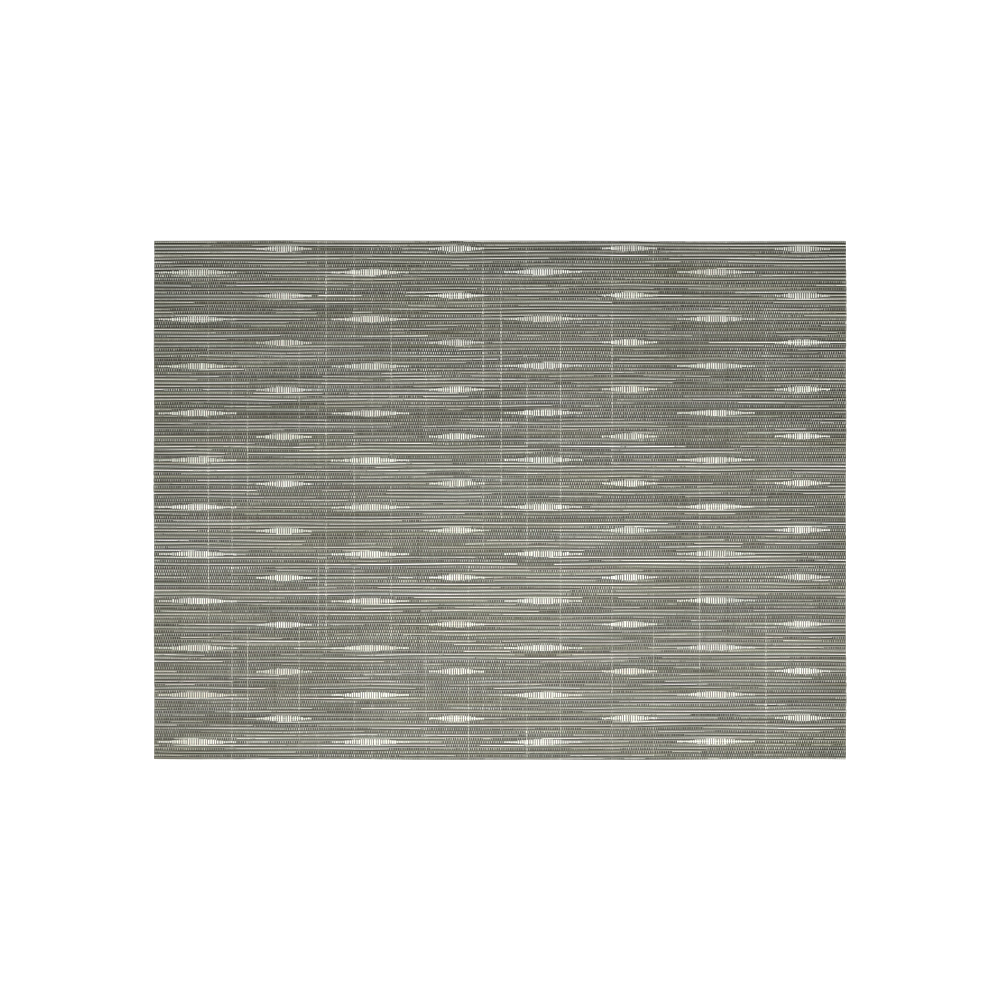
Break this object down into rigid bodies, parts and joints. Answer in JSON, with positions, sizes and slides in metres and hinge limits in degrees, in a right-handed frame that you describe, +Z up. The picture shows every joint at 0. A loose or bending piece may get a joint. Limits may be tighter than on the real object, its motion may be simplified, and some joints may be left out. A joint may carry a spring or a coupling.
{
  "type": "woven vinyl placemat",
  "caption": "Flat rectangular table mat of coarse woven vinyl yarn, ribbed along its length, cut edges with no hem, lies on a table under a place setting.",
  "frame": {"origin": "middle of the underside, on the surface that the mat lies on", "axes": "+Z up out of the mat's face; +X along its long side and its ribs; +Y along its short side, away from the diner"},
  "size_m": [0.48, 0.36, 0.0018],
  "materials": {
    "woven_vinyl": "grey and cream vinyl yarn, satin, woven in ribs"
  },
  "bodies": {
    "root": {"woven_mat": "woven_vinyl"}
  },
  "joints": []
}
